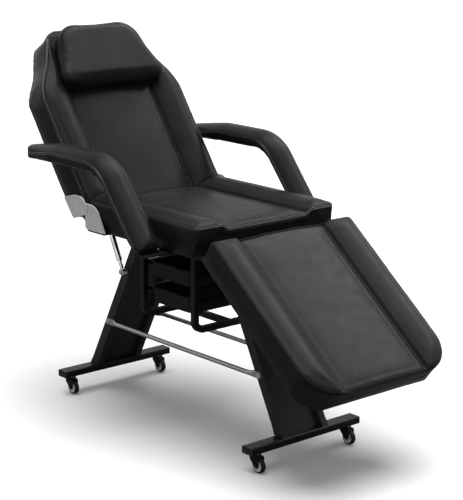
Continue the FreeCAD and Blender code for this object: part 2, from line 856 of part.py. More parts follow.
# side hinges of the back: a plate on the seat, an arm on the back, and plastic covers
seatCoverX = hingeX + plateThick + coverGap
backArmX = hingeX + plateThick + gap
backCoverX = backArmX + plateThick + coverGap


def hingeOutline(shares):
    """corners round the hinge's axis, as shares of the radius of the back's end"""
    return [(reclineY + endRadius * u, reclineZ + endRadius * v, endRadius * r) for u, v, r in shares]


def seatHingePlate():
    """upright plate from a flange under the seat up to the pin"""
    low = frameTopZ - bracketThick
    front = reclineY - endRadius * plateFrontShare
    side = plateX([(front, low), (seatRailRear, low, flangeThick)] + hingeOutline(seatPlateShares),
                  hingeX, hingeX + plateThick)
    flange = boxed(railOuter, hingeX + plateThick, front, seatRailRear - flangeThick, low, low + flangeThick)
    side = side.fuse(flange).removeSplitter()
    return side.cut(rodX(hingePinR + fitClear, hingeX - overrun, hingeX + overrun, reclineY, reclineZ))


save("seat_hinge_plates", [mirrorX(seatHingePlate()), seatHingePlate()])


def backHingeArm():
    """strap down from the pin, with two studs through the side of the back into the board's cheek"""
    low = studZ - studEdge
    end = studPlaces[-1] + studEdge
    strap = plateX([(reclineY - hingeEyeR, reclineZ + hingeEyeR, hingeEyeR - gap),
                    (reclineY - hingeEyeR, low, studEdge - gap), (end, low, studEdge - gap),
                    (end, studZ + studEdge, studEdge - gap),
                    (reclineY + hingeEyeR, reclineZ + hingeEyeR, hingeEyeR - gap)],
                   backArmX, backArmX + plateThick)
    inner = backHalf - boardInset - hingeCheekThick / 2
    shape = strap.fuse([rodX(studR, inner, backArmX, y, studZ) for y in studPlaces]).removeSplitter()
    return recline(shape.cut(rodX(hingePinR + fitClear, backArmX - overrun, backArmX + overrun, reclineY, reclineZ)))


save("back_hinge_arms", [mirrorX(backHingeArm()), backHingeArm()])


def hingePin():
    return rodX(hingePinR, hingeX, backArmX + plateThick, reclineY, reclineZ)


save("hinge_pins", [mirrorX(hingePin()), hingePin(), mirrorX(kneePin()), kneePin()])


def dished(outline, x):
    """thin moulded cover: a plate whose outer edge is rounded over"""
    shape = plateX(outline, x, x + coverThick)
    rim = [e for e in shape.Edges if e.BoundBox.XMin > x + coverThick - gap / 3]
    return shape.makeFillet(coverRim, rim)


backCover = recline(dished(hingeOutline(backCoverShares), backCoverX))
save("back_hinge_covers", [mirrorX(backCover), backCover])
seatCover = dished(hingeOutline(seatCoverShares), seatCoverX)
save("seat_hinge_covers", [mirrorX(seatCover), seatCover])

# arms: bent core on a bracket under the seat, and a pad wrapped over it
armSlope = (armKneeY - armLowY) / (armTopZ - armLowZ)
armLean = math.hypot(1, armSlope)
armOuterX = armInnerX + armWidth
bracketTop = frameTopZ - tubeWall


def armLine(z):
    """upper edge of the leaning part of the arm at a height"""
    return armKneeY - armSlope * (armTopZ - z)


def armBend(before, here, after, radius, steps):
    """stations round one bend; the pad's thickness goes over from one stretch to the next"""
    comingIn = math.atan2(here[1] - before[1], here[0] - before[0])
    turn = (math.atan2(after[1] - here[1], after[0] - here[0]) - comingIn) % (2 * math.pi)
    reach = radius * math.tan(turn / 2)
    startY = here[0] - reach * math.cos(comingIn)
    startZ = here[1] - reach * math.sin(comingIn)
    stations = []
    for part in [k / steps for k in range(steps + 1)]:
        angle = comingIn + turn * part
        stations.append((startY + radius * (math.sin(angle) - math.sin(comingIn)),
                         startZ - radius * (math.cos(angle) - math.cos(comingIn)),
                         angle, here[2] + (here[3] - here[2]) * part))
    return stations


def armStations(tipInset, lowZ):
    """places along the upper edge of the arm: y, z, tangent angle, pad thickness"""
    tipY = armTipY - tipInset
    tipZ = armTopZ - armTipDrop * (tipY - armTipBend) / (armTipY - armTipBend)
    hump = (armTipBend, armTopZ, armPadTop, armPadTop)
    knee = (armKneeY, armTopZ, armPadTop, armPadSlope)
    stations = armBend((tipY, tipZ), hump, knee, armTipBendR, 2)
    stations += armBend(hump, knee, (armLine(lowZ), lowZ), armKneeR, armBendSteps)
    return [(tipY, tipZ, stations[0][2], armPadTip)] + stations + [(armLine(lowZ), lowZ, stations[-1][2], armPadSlope)]


def armSection(station, x0, x1, rise, deep):
    """cross section square to the arm: flat underside, upright sides, crowned top"""
    y, z, angle, thick = station
    outY = math.sin(angle)
    outZ = -math.cos(angle)

    def at(x, lift):
        return vec(x, y + outY * lift, z + outZ * lift)
    low = -thick
    high = 0 if deep is None else low + deep
    if deep is None:
        top = Part.Arc(at(x1, high), at((x0 + x1) / 2, high + rise), at(x0, high)).toShape()
    else:
        top = Part.LineSegment(at(x1, high), at(x0, high)).toShape()
    return Part.Wire([Part.LineSegment(at(x0, low), at(x1, low)).toShape(),
                      Part.LineSegment(at(x1, low), at(x1, high)).toShape(), top,
                      Part.LineSegment(at(x0, high), at(x0, low)).toShape()])


def armCore():
    stations = armStations(armTipR * 2, bracketTop - overrun)
    wires = [armSection(s, armInnerX + armCoreInset, armOuterX - armCoreInset, 0, armCoreThick) for s in stations]
    shape = Part.makeLoft(wires, True, True)
    return shape.cut(boxed(0, armOuterX * 2, -armTipY, armTipY, 0, bracketTop))


def armPad():
    wires = [armSection(s, armInnerX, armOuterX, armCrown, None) for s in armStations(0, armLowZ - overrun)]
    pad = Part.makeLoft(wires, True, True)
    middle = (armInnerX + armOuterX) / 2
    top = armTopZ + armCrown + overrun
    plan = plateZ([(armInnerX, armLowY * 2), (armOuterX, armLowY * 2), (armOuterX, armNarrowY, armTaperR),
                   (middle + armTipHalf, armTipY, armTipR), (middle - armTipHalf, armTipY, armTipR),
                   (armInnerX, armNarrowY, armTaperR)], armLowZ, top)
    # the lower end is rounded off at both sides and at its toe
    face = plateY([(armInnerX, armLowZ, armEndR), (armOuterX, armLowZ, armEndR), (armOuterX, top), (armInnerX, top)],
                  armLowY * 2, armTipY)
    crownY = armCrown * armLean
    toe = plateX([(armLowY - crownY, armLowZ, armToeR), (armTipY, armLowZ), (armTipY, top),
                  (armLine(top) - crownY, top)], armInnerX, armOuterX)
    return pad.common(plan).common(face).common(toe).cut(armCore())


core = armCore()
save("arm_core_left", core)
save("arm_core_right", mirrorX(core))
pad = armPad()
save("arm_pad_left", pad)
save("arm_pad_right", mirrorX(pad))


def armBracket():
    middle = armLine(bracketTop) + armPadSlope * armLean - armCoreThick
    return boxed(railOuter, armOuterX - armCoreInset, middle - bracketWidth / 2, middle + bracketWidth / 2,
                 bracketTop - bracketThick, bracketTop)


save("arm_brackets", [mirrorX(armBracket()), armBracket()])


# stays: a tube on the frame, a rod in it on the moving part
def along(start, end, distance):
    way = end.sub(start)
    way.normalize()
    return start.add(way.multiply(distance))


def stayTube(foot, head, x, eye, width, neckR, neck, tubeR, boreR, length):
    """eye, neck and open tube on the line from foot to head"""
    way = head.sub(foot)
    shape = rodX(eye, x - width / 2, x + width / 2, foot.y, foot.z)
    shape = shape.fuse(Part.makeCylinder(neckR, neck, foot, way))
    barrel = Part.makeCylinder(tubeR, length - neck, along(foot, head, neck), way)
    bore = Part.makeCylinder(boreR, length, along(foot, head, neck + tubeWall * 2), way)
    shape = shape.fuse(barrel).cut(bore)
    return shape.cut(rodX(stayPinR + fitClear, x - width, x + width, foot.y, foot.z)).removeSplitter()


def stayRod(foot, head, x, eye, width, rodR, length):
    way = foot.sub(head)
    shape = rodX(eye, x - width / 2, x + width / 2, head.y, head.z)
    shape = shape.fuse(Part.makeCylinder(rodR, length, head, way))
    return shape.cut(rodX(stayPinR + fitClear, x - width, x + width, head.y, head.z)).removeSplitter()


# the stay's two pins are equally far from the back hinge, so its turn is half the back's
backStayX = -stayX
stayFoot = vec(backStayX, stayFootY, stayFootZ)
stayArm = math.hypot(stayFootY - reclineY, stayFootZ - reclineZ)
stayLevel = seamZ - reclineZ - stayDrop
stayReach = math.sqrt(stayArm * stayArm - stayLevel * stayLevel)
stayHeadFlat = Part.Vertex(backStayX, reclineY + stayReach, reclineZ + stayLevel)
stayHead = recline(stayHeadFlat).Point
save("back_stay_tube", stayTube(stayFoot, stayHead, backStayX, stayEyeR, stayEyeWidth, stayNeckR, stayNeck,
                                stayTubeR, stayBoreR, stayTubeEnd))
rodEyeR = stayEyeR * rodEyeShare
stayRodLength = stayHead.sub(stayFoot).Length - stayTubeEnd + stayOverlap
save("back_stay_rod", stayRod(stayFoot, stayHead, backStayX, rodEyeR, stayEyeWidth, stayRodR, stayRodLength))

propFoot = vec(propX, propFootY, propFootZ)
propArm = math.hypot(propFootY - kneeY, propFootZ - kneeZ)
propLevel = seamZ - kneeZ - propDrop
propReach = math.sqrt(propArm * propArm - propLevel * propLevel)
propHeadFlat = Part.Vertex(propX, kneeY - propReach, kneeZ + propLevel)
propHead = dropKnee(propHeadFlat).Point
propRodLength = propHead.sub(propFoot).Length - propTubeEnd + propOverlap
save("rest_stay_tube", stayTube(propFoot, propHead, propX, propEyeR, stayEyeWidth, propNeckR, propNeck,
                                propTubeR, propBoreR, propTubeEnd))
save("rest_stay_rod", stayRod(propFoot, propHead, propX, propRodEyeR, stayEyeWidth, propRodR, propRodLength))


def sidePin(foot, side):
    """pin out of the leg's outer face that carries a stay, with a round head"""
    outer = abs(foot.x) + stayEyeWidth / 2 + gap
    pin = rodX(stayPinR, legHalfWidth - tubeWall, outer, foot.y, foot.z)
    pin = pin.fuse(rodX(boltHeadRadius, outer, outer + boltHeadThick, foot.y, foot.z)).removeSplitter()
    return pin if side > 0 else mirrorX(pin)


save("stay_pins", [sidePin(stayFoot, -1), sidePin(propFoot, 1)])


def clevis(x, y, z, seatHeight, eye):
    """two lugs hanging from a board on either side of a stay's eye, with the pin through them"""
    inside = stayEyeWidth / 2 + gap
    outside = inside + lugThick
    lugs = []
    for side in (-1, 1):
        near = x + side * inside
        far = x + side * outside
        root = eye * lugFlareShare
        lugs.append(plateX([(y - eye, z - eye, eye - gap), (y + eye, z - eye, eye - gap), (y + root, seatHeight),
                            (y - root, seatHeight)], min(near, far), max(near, far)))
    pin = rodX(stayPinR, x - outside - lugThick / 2, x + outside + lugThick / 2, y, z)
    return lugs[0].fuse([lugs[1], pin]).removeSplitter()


save("back_stay_clevis", recline(clevis(backStayX, reclineY + stayReach, reclineZ + stayLevel, backBottomZ, rodEyeR)))
save("rest_stay_clevis", dropKnee(clevis(propX, kneeY - propReach, kneeZ + propLevel, restBottomZ, rodEyeR)))


# tray rack: two U hangers, a beam between them, runners and two sliding trays
def hanger(y):
    outer = hangerX + hangerTube / 2
    inner = hangerX - hangerTube / 2
    topZ = frameTopZ - frameTube
    bottom = hangerBottomZ
    inside = bottom + hangerTube
    bendOut = hangerBendR + hangerTube / 2
    bendIn = hangerBendR - hangerTube / 2

    def loop(shrink, top):
        return [(-outer + shrink, top), (-outer + shrink, bottom + shrink, bendOut - shrink),
                (outer - shrink, bottom + shrink, bendOut - shrink), (outer - shrink, top), (inner + shrink, top),
                (inner + shrink, inside - shrink, bendIn + shrink), (-inner - shrink, inside - shrink, bendIn + shrink),
                (-inner - shrink, top)]
    half = hangerTube / 2
    shape = plateY(loop(0, topZ), y - half, y + half)
    return shape.cut(plateY(loop(tubeWall, topZ + overrun), y - half + tubeWall, y + half - tubeWall))


save("hanger_front", hanger(hangerFrontY))
save("hanger_rear", hanger(hangerRearY))
beamZ = hangerBottomZ + hangerTube / 2
save("hanger_beam", squareTube(hangerTube, tubeWall, vec(beamX, hangerFrontY + hangerTube / 2, beamZ),
                               vec(beamX, hangerRearY - hangerTube / 2, beamZ)))
bayFront = hangerFrontY + hangerTube / 2
bayRear = hangerRearY - hangerTube / 2
bayMiddle = (bayFront + bayRear) / 2


def runner(y, inward, rimZ):
    """angle between the near and far upright of one hanger, carrying the tray's lip"""
    shelfZ = rimZ - trayWall - gap
    x0 = -hangerX - hangerTube / 2
    x1 = -x0
    web = boxed(x0, x1, min(y, y + inward * runnerThick), max(y, y + inward * runnerThick),
                shelfZ - runnerDrop, shelfZ)
    shelf = boxed(x0, x1, min(y, y + inward * runnerDepth), max(y, y + inward * runnerDepth),
                  shelfZ - runnerThick, shelfZ)
    return web.fuse(shelf).removeSplitter()


save("tray_runners", [runner(y, inward, rim) for rim in (trayUpperRim, trayLowerRim)
                      for y, inward in ((bayFront, 1), (bayRear, -1))])


def tray(rimZ):
    """open tray with drafted walls, rolled side lips, and a waved front edge"""
    halfX = trayLength / 2
    halfY = (bayRear - bayFront) / 2 - traySideGap - trayLip
    bottom = rimZ - trayDepth

    def rounded(z, hx, hy, radius):
        return closedWire([(-hx, bayMiddle - hy, radius), (hx, bayMiddle - hy, radius), (hx, bayMiddle + hy, radius),
                           (-hx, bayMiddle + hy, radius)], lambda x, y: vec(x, y, z))
    outside = Part.makeLoft([rounded(bottom, halfX - trayDraft, halfY - trayDraft, trayCorner),
                             rounded(rimZ, halfX, halfY, trayCorner)], True, True)
    inside = Part.makeLoft([rounded(bottom + trayWall, halfX - trayDraft - trayWall, halfY - trayDraft - trayWall,
                                    trayCorner - trayWall),
                            rounded(rimZ + trayWall, halfX - trayWall, halfY - trayWall, trayCorner - trayWall)],
                           True, True)
    lip = Part.Face(rounded(rimZ - trayWall, halfX + trayWall, halfY + trayLip, trayCorner))
    shape = outside.fuse(lip.extrude(vec(0, 0, trayWall))).cut(inside)
    near = -halfX - overrun
    far = -halfX + trayWall * 2 + trayDraft
    scoopR = (trayScoopHalf * trayScoopHalf + trayScoop * trayScoop) / (2 * trayScoop)
    for side in (-1, 1):
        shape = shape.cut(rodX(scoopR, near, far, bayMiddle + side * halfY / 2, rimZ + scoopR - trayScoop))
    shape = shape.cut(rodX(trayNotchR, near, far, bayMiddle, rimZ))
    return shape.removeSplitter()


save("tray_upper", tray(trayUpperRim))
save("tray_lower", tray(trayLowerRim))
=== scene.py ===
import math

import bpy
import numpy as np
from mathutils import Matrix, Vector, noise
from mathutils.bvhtree import BVHTree
from mathutils.kdtree import KDTree


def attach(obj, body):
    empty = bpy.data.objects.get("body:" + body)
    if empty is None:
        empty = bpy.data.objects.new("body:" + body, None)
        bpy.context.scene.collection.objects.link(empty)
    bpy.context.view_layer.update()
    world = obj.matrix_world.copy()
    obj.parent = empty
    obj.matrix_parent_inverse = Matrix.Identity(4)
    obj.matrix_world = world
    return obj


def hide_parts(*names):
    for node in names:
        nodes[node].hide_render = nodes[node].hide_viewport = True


# Tattoo client chair: cushions, seams, finishes, small hardware, stage and camera.
# Metres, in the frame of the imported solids: X to the client's left, -Y to the feet, Z up.

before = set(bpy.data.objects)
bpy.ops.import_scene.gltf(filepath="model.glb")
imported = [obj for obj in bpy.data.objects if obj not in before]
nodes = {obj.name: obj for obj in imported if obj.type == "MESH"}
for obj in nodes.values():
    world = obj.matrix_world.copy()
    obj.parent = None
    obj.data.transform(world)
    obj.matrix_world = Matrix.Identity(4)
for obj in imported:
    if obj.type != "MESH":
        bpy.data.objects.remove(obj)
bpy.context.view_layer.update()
print("frame loaded:", len(nodes), "nodes")


# finishes

def newFinish(name, colour, roughness, metallic=0.0, specular=0.5):
    finish = bpy.data.materials.new(name)
    finish.use_nodes = True
    tree = finish.node_tree
    shader = tree.nodes["Principled BSDF"]
    shader.inputs["Base Color"].default_value = (*colour, 1)
    shader.inputs["Roughness"].default_value = roughness
    shader.inputs["Metallic"].default_value = metallic
    shader.inputs["Specular IOR Level"].default_value = specular
    place = tree.nodes.new("ShaderNodeTexCoord").outputs["Object"]
    return finish, tree, shader, place


def addNoise(tree, place, scale, detail):
    texture = tree.nodes.new("ShaderNodeTexNoise")
    texture.inputs["Scale"].default_value = scale
    texture.inputs["Detail"].default_value = detail
    tree.links.new(place, texture.inputs["Vector"])
    return texture.outputs["Fac"]


def addCells(tree, place, scale, feature="DISTANCE_TO_EDGE"):
    texture = tree.nodes.new("ShaderNodeTexVoronoi")
    texture.feature = feature
    texture.inputs["Scale"].default_value = scale
    tree.links.new(place, texture.inputs["Vector"])
    return texture.outputs["Distance"]


def addRange(tree, value, low, high, toLow, toHigh):
    remap = tree.nodes.new("ShaderNodeMapRange")
    remap.inputs["From Min"].default_value = low
    remap.inputs["From Max"].default_value = high
    remap.inputs["To Min"].default_value = toLow
    remap.inputs["To Max"].default_value = toHigh
    tree.links.new(value, remap.inputs["Value"])
    return remap.outputs["Result"]


def addTint(tree, factor, first, second):
    mix = tree.nodes.new("ShaderNodeMix")
    mix.data_type = "RGBA"
    mix.inputs[6].default_value = (*first, 1)
    mix.inputs[7].default_value = (*second, 1)
    tree.links.new(factor, mix.inputs["Factor"])
    return mix


def addBump(tree, height, distance, strength, under=None):
    bump = tree.nodes.new("ShaderNodeBump")
    bump.inputs["Distance"].default_value = distance
    bump.inputs["Strength"].default_value = strength
    tree.links.new(height, bump.inputs["Height"])
    if under is not None:
        tree.links.new(under, bump.inputs["Normal"])
    return bump.outputs["Normal"]


def roundedEdges(tree, radius):
    bevel = tree.nodes.new("ShaderNodeBevel")
    bevel.samples = 4
    bevel.inputs["Radius"].default_value = radius
    return bevel.outputs["Normal"]


def edgeWear(tree, rounded, low, high):
    # 0 on the flats, 1 where an edge is rounded over
    geometry = tree.nodes.new("ShaderNodeNewGeometry")
    dot = tree.nodes.new("ShaderNodeVectorMath")
    dot.operation = "DOT_PRODUCT"
    tree.links.new(rounded, dot.inputs[0])
    tree.links.new(geometry.outputs["Normal"], dot.inputs[1])
    return addRange(tree, dot.outputs["Value"], high, low, 0.0, 1.0)


vinylLook = {"colour": (0.009, 0.009, 0.0093), "worn": (0.014, 0.014, 0.0144), "roughness": 0.36,
             "specular": 0.07, "patches": 9, "smears": 26, "dents": 55, "dentDepth": 0.0009,
             "grain": 780, "grainDepth": 0.00016, "pores": 2600, "poreDepth": 0.00006}


def vinylFinish(look):
    finish, tree, shader, place = newFinish("blackVinyl", look["colour"], look["roughness"],
                                            specular=look["specular"])
    patches = addNoise(tree, place, look["patches"], 3)
    tint = addTint(tree, addRange(tree, patches, 0.35, 0.7, 0, 1), look["colour"], look["worn"])
    tree.links.new(tint.outputs[2], shader.inputs["Base Color"])
    smears = addNoise(tree, place, look["smears"], 4)
    rough = addRange(tree, smears, 0.3, 0.7, look["roughness"] - 0.05, look["roughness"] + 0.06)
    tree.links.new(rough, shader.inputs["Roughness"])
    soft = addBump(tree, addNoise(tree, place, look["dents"], 2), look["dentDepth"], 0.35)
    pebble = addBump(tree, addCells(tree, place, look["grain"]), look["grainDepth"], 0.55, soft)
    pores = addBump(tree, addNoise(tree, place, look["pores"], 2), look["poreDepth"], 0.35, pebble)
    tree.links.new(pores, shader.inputs["Normal"])
    return finish


pipingLook = {"colour": (0.009, 0.009, 0.0092), "roughness": 0.30, "specular": 0.42, "grain": 900,
              "grainDepth": 0.0001, "smears": 60}
# the leg rest's piping is a darker, duller copy of the same welt: painted shade, standing in for how the
# light falls on the leg rest's edges
shadedPipingLook = dict(pipingLook, colour=(0.005, 0.005, 0.0052), roughness=0.36, specular=0.05)


def pipingFinish(name, look):
    finish, tree, shader, place = newFinish(name, look["colour"], look["roughness"],
                                            specular=look["specular"])
    grain = addBump(tree, addNoise(tree, place, look["grain"], 3), look["grainDepth"], 0.4)
    tree.links.new(grain, shader.inputs["Normal"])
    smears = addNoise(tree, place, look["smears"], 2)
    rough = addRange(tree, smears, 0.3, 0.7, look["roughness"] - 0.05, look["roughness"] + 0.08)
    tree.links.new(rough, shader.inputs["Roughness"])
    return finish


threadLook = {"colour": (0.016, 0.016, 0.0165), "roughness": 0.6, "specular": 0.15, "twist": 1400,
              "twistDepth": 0.0001}


def threadFinish(look):
    finish, tree, shader, place = newFinish("stitchThread", look["colour"], look["roughness"],
                                            specular=look["specular"])
    wave = tree.nodes.new("ShaderNodeTexWave")
    wave.bands_direction = "DIAGONAL"
    wave.inputs["Scale"].default_value = look["twist"]
    tree.links.new(place, wave.inputs["Vector"])
    twist = addBump(tree, wave.outputs["Fac"], look["twistDepth"], 0.6)
    tree.links.new(twist, shader.inputs["Normal"])
    return finish


paintLook = {"metallic": 0.0, "specular": 0.5, "edge": 0.0012, "specks": 240, "smears": 30, "peel": 700,
             "peelDepth": 0.00008}


def paintFinish(name, own):
    look = dict(paintLook, **own)
    finish, tree, shader, place = newFinish(name, look["colour"], look["roughness"], look["metallic"],
                                            look["specular"])
    rounded = roundedEdges(tree, look["edge"])
    wear = edgeWear(tree, rounded, 0.80, 0.985)
    specks = addRange(tree, addNoise(tree, place, look["specks"], 3), 0.45, 0.62, 0, 1)
    both = tree.nodes.new("ShaderNodeMath")
    both.operation = "MULTIPLY"
    tree.links.new(wear, both.inputs[0])
    tree.links.new(specks, both.inputs[1])
    tint = addTint(tree, both.outputs[0], look["colour"], look["worn"])
    tree.links.new(tint.outputs[2], shader.inputs["Base Color"])
    smears = addNoise(tree, place, look["smears"], 4)
    rough = addRange(tree, smears, 0.3, 0.7, look["roughness"] - 0.06, look["roughness"] + 0.08)
    tree.links.new(rough, shader.inputs["Roughness"])
    skin = addBump(tree, addNoise(tree, place, look["peel"], 2), look["peelDepth"], 0.4, rounded)
    tree.links.new(skin, shader.inputs["Normal"])
    return finish


def speckledFinish(name, look):
    finish, tree, shader, place = newFinish(name, look["colour"], look["roughness"])
    specks = addRange(tree, addCells(tree, place, look["speck"], "F1"), 0.12, 0.3, 1, 0)
    clouds = addNoise(tree, place, look["clouds"], 3)
    tint = addTint(tree, specks, look["colour"], look["dark"])
    shade = addTint(tree, addRange(tree, clouds, 0.3, 0.7, 0, 1), look["colour"], look["pale"])
    tree.links.new(shade.outputs[2], tint.inputs[6])
    tree.links.new(tint.outputs[2], shader.inputs["Base Color"])
    rounded = roundedEdges(tree, look["edge"])
    skin = addBump(tree, addNoise(tree, place, look["peel"], 2), look["peelDepth"], 0.5, rounded)
    tree.links.new(skin, shader.inputs["Normal"])
    return finish


metalLook = {"hair": 400, "hairDepth": 0.00003, "dullPatches": 70, "edge": 0.0008}


def metalFinish(name, own):
    look = dict(metalLook, **own)
    finish, tree, shader, place = newFinish(name, look["colour"], look["roughness"], 1.0)
    hairs = addNoise(tree, place, look["hair"], 3)
    rough = addRange(tree, hairs, 0.3, 0.7, look["roughness"] * 0.7, look["roughness"] * 1.6)
    tree.links.new(rough, shader.inputs["Roughness"])
    patches = addRange(tree, addNoise(tree, place, look["dullPatches"], 3), 0.4, 0.7, 0, 1)
    tint = addTint(tree, patches, look["colour"], look["dull"])
    tree.links.new(tint.outputs[2], shader.inputs["Base Color"])
    rounded = roundedEdges(tree, look["edge"])
    tree.links.new(addBump(tree, hairs, look["hairDepth"], 0.3, rounded), shader.inputs["Normal"])
    return finish


def liningFinish(look):
    # black cloth stapled over the boards
    finish, tree, shader, place = newFinish("boardLining", look["colour"], look["roughness"],
                                            specular=look["specular"])
    wave = tree.nodes.new("ShaderNodeTexWave")
    wave.inputs["Scale"].default_value = look["weave"]
    wave.inputs["Distortion"].default_value = 1.5
    tree.links.new(place, wave.inputs["Vector"])
    fuzz = addBump(tree, addNoise(tree, place, look["fuzz"], 4), look["weaveDepth"], 0.6)
    threads = addBump(tree, wave.outputs["Fac"], look["weaveDepth"], 0.5, fuzz)
    tree.links.new(threads, shader.inputs["Normal"])
    tint = addTint(tree, addNoise(tree, place, look["patches"], 4), look["colour"], look["pale"])
    tree.links.new(tint.outputs[2], shader.inputs["Base Color"])
    return finish


finishes = {
    "vinyl": vinylFinish(vinylLook),
    "welt": pipingFinish("seamWelt", pipingLook),
    # painted shade: the darker copy of the welt finish, worn only by the leg rest's piping
    "shadedWelt": pipingFinish("seamWeltShaded", shadedPipingLook),
    "thread": threadFinish(threadLook),
    "frameBlack": paintFinish("framePowderCoat", {
        "colour": (0.008, 0.008, 0.0083), "worn": (0.05, 0.05, 0.052), "roughness": 0.42, "specular": 0.12,
        "edge": 0.0016}),
    # painted light: the legs wear a paler copy of the frame's black powder coat, lifting their tone above
    # the rest of the frame
    "legBlackLit": paintFinish("legPowderCoatLit", {
        "colour": (0.027, 0.027, 0.0275), "worn": (0.05, 0.05, 0.052), "roughness": 0.44, "specular": 0.14,
        "edge": 0.0016}),
    "satinBlack": paintFinish("satinEnamel", {
        "colour": (0.005, 0.005, 0.0052), "worn": (0.02, 0.02, 0.02), "roughness": 0.62, "specular": 0.04,
        "peel": 900}),
    "trayPlastic": paintFinish("trayPlastic", {
        "colour": (0.024, 0.024, 0.0243), "worn": (0.030, 0.030, 0.030), "roughness": 0.60,
        "specular": 0.03, "peel": 1300, "peelDepth": 0.0001}),
    "barGrey": paintFinish("crossbarSilver", {
        "colour": (0.34, 0.34, 0.345), "worn": (0.28, 0.28, 0.28), "roughness": 0.36, "metallic": 0.75,
        "peel": 1500}),
    "plugBlack": paintFinish("plugPlastic", {
        "colour": (0.009, 0.009, 0.009), "worn": (0.03, 0.03, 0.03), "roughness": 0.45, "specular": 0.25,
        "peel": 1600}),
    "coverGrey": speckledFinish("coverGrey", {
        "colour": (0.78, 0.78, 0.78), "pale": (0.86, 0.86, 0.86), "dark": (0.52, 0.52, 0.52),
        "roughness": 0.48, "speck": 520, "clouds": 45, "edge": 0.0012, "peel": 900, "peelDepth": 0.0001}),
    "chrome": metalFinish("stayChrome", {
        "colour": (0.80, 0.80, 0.81), "dull": (0.62, 0.62, 0.63), "roughness": 0.13}),
    "zinc": metalFinish("boltZinc", {
        "colour": (0.56, 0.56, 0.57), "dull": (0.40, 0.40, 0.41), "roughness": 0.30}),
    "yoke": paintFinish("casterYoke", {
        "colour": (0.010, 0.010, 0.010), "worn": (0.05, 0.05, 0.05), "roughness": 0.38, "specular": 0.10,
        "peel": 1500}),
    "tyre": paintFinish("tyreRubber", {
        "colour": (0.012, 0.012, 0.012), "worn": (0.03, 0.03, 0.03), "roughness": 0.62, "specular": 0.15,
        "peel": 2200}),
    "hub": paintFinish("hubPlastic", {
        "colour": (0.93, 0.93, 0.935), "worn": (0.7, 0.7, 0.7), "roughness": 0.34, "peel": 1200}),
    "lining": liningFinish({
        "colour": (0.012, 0.012, 0.012), "pale": (0.02, 0.02, 0.02), "roughness": 0.85, "specular": 0.25,
        "weave": 420, "weaveDepth": 0.0002, "fuzz": 500, "patches": 40}),
}
print("finishes made:", len(finishes))


# which finish each solid wears

wornBy = {
    # the legs take the paler copy of the frame coat, which is painted light
    "legBlackLit": ["leg_rear", "leg_front"],
    "satinBlack": ["tray_runners"],
    "frameBlack": ["foot_bar_rear", "foot_bar_front", "seat_rails", "seat_cross_tubes", "back_rails",
                   "back_cross_tubes", "rest_rails", "rest_cross_tubes", "knee_lugs", "seat_hinge_plates",
                   "back_hinge_arms", "arm_core_left", "arm_core_right", "arm_brackets", "hanger_front",
                   "hanger_rear", "hanger_beam", "back_stay_clevis", "rest_stay_clevis"],
    "trayPlastic": ["tray_upper", "tray_lower"],
    "barGrey": ["crossbar_right", "crossbar_left"],
    "plugBlack": ["foot_bar_caps"],
    "coverGrey": ["back_hinge_covers", "seat_hinge_covers"],
    "chrome": ["back_stay_tube", "back_stay_rod", "rest_stay_tube", "rest_stay_rod"],
    "zinc": ["crossbar_bolts", "hinge_pins", "stay_pins", "caster_stems"],
    "lining": ["seat_board", "back_board", "rest_board"],
}
corners = ["rear_right", "rear_left", "front_right", "front_left"]
wornBy["yoke"] = ["caster_fork_" + corner for corner in corners]
wornBy["tyre"] = ["caster_tyre_" + corner for corner in corners]
wornBy["hub"] = ["caster_hub_" + corner for corner in corners]


def wear(obj, finish):
    obj.data.materials.clear()
    obj.data.materials.append(finishes[finish])


for finish, names in wornBy.items():
    for name in names:
        wear(nodes[name], finish)
print("solids finished:", sum(len(names) for names in wornBy.values()))


# helpers for modelling

def selectOnly(obj):
    bpy.ops.object.select_all(action="DESELECT")
    obj.select_set(True)
    bpy.context.view_layer.objects.active = obj


def addModifier(obj, kind, **settings):
    selectOnly(obj)
    modifier = obj.modifiers.new(kind.title(), kind)
    for key, value in settings.items():
        setattr(modifier, key, value)
    bpy.ops.object.modifier_apply(modifier=modifier.name)


def readPoints(mesh):
    points = np.empty(len(mesh.vertices) * 3, np.float32)
    mesh.vertices.foreach_get("co", points)
    return points.reshape(-1, 3).astype(float)


def writePoints(mesh, points):
    mesh.vertices.foreach_set("co", points.astype(np.float32).ravel())
    mesh.update()


def readNormals(mesh):
    normals = np.empty(len(mesh.vertices) * 3, np.float32)
    mesh.vertices.foreach_get("normal", normals)
    return normals.reshape(-1, 3).astype(float)


backHinge = {"y": 0.281, "z": 0.750, "turn": math.radians(54)}
kneeHinge = {"y": -0.327, "z": 0.670, "turn": math.radians(38.5)}
noHinge = {"y": 0.0, "z": 0.0, "turn": 0.0}


def turned(points, hinge, way=1):
    # from the level pose that the seams are drawn in to the photo's pose, and back with way = -1
    angle = hinge["turn"] * way
    points = np.asarray(points, float)
    y = points[:, 1] - hinge["y"]
    z = points[:, 2] - hinge["z"]
    out = points.copy()
    out[:, 1] = hinge["y"] + y * math.cos(angle) - z * math.sin(angle)
    out[:, 2] = hinge["z"] + y * math.sin(angle) + z * math.cos(angle)
    return out


# cushions: the solid's cover is remeshed, softened and subdivided, and then shaped along its seams

